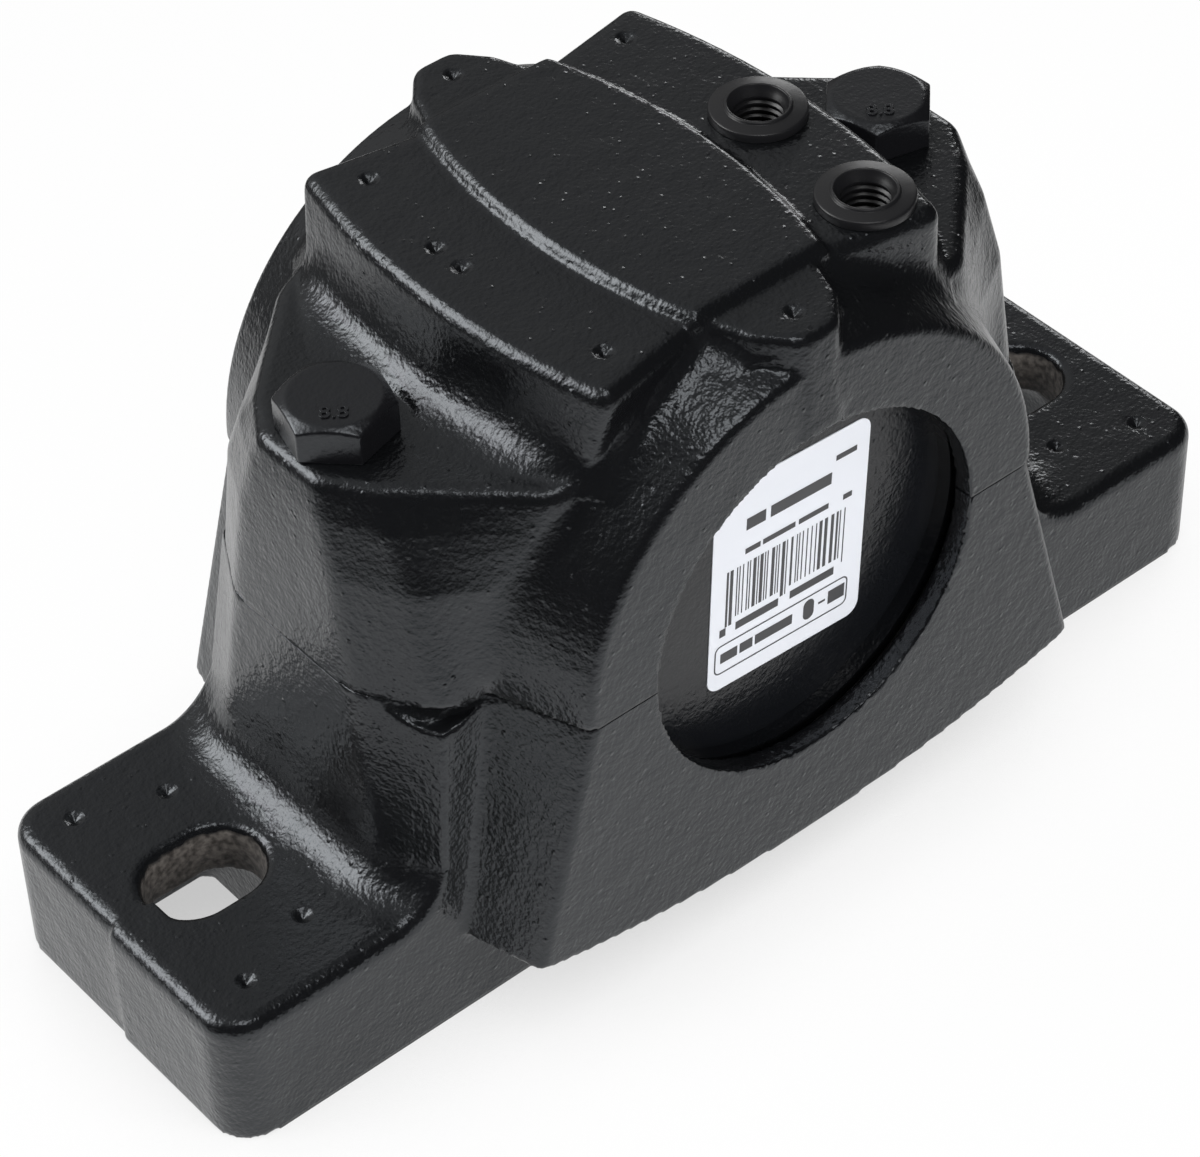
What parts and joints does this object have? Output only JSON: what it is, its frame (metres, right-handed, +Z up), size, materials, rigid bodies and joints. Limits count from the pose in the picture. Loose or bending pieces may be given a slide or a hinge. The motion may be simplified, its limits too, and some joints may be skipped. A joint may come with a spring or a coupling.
{
  "type": "split plummer block bearing housing",
  "caption": "Split plummer block housing: cast base and cap bolted around a bearing space, one end closed by a flat cover.",
  "frame": {"origin": "middle of the mounting face under the foot", "axes": "+X along the foot from one fixing slot to the other, +Y along the shaft out of the open end, +Z up from the mounting face"},
  "size_m": [0.205, 0.0898, 0.112],
  "materials": {
    "casting": "black semi-gloss paint over cast skin",
    "bolt_steel": "painted over with the casting",
    "pin_steel": "ground",
    "plug_plastic": "moulded, slightly glossy",
    "cover_plastic": "moulded, slightly glossy",
    "cord_rubber": "matt",
    "label_paper": "smooth paper"
  },
  "bodies": {
    "root": {"base_casting": "casting", "cap_casting": "casting", "cap_bolts": "bolt_steel", "locating_pins": "pin_steel", "lubrication_plugs": "plug_plastic", "end_cover": "cover_plastic", "seal_cord": "cord_rubber", "cover_label": "label_paper"}
  },
  "joints": []
}
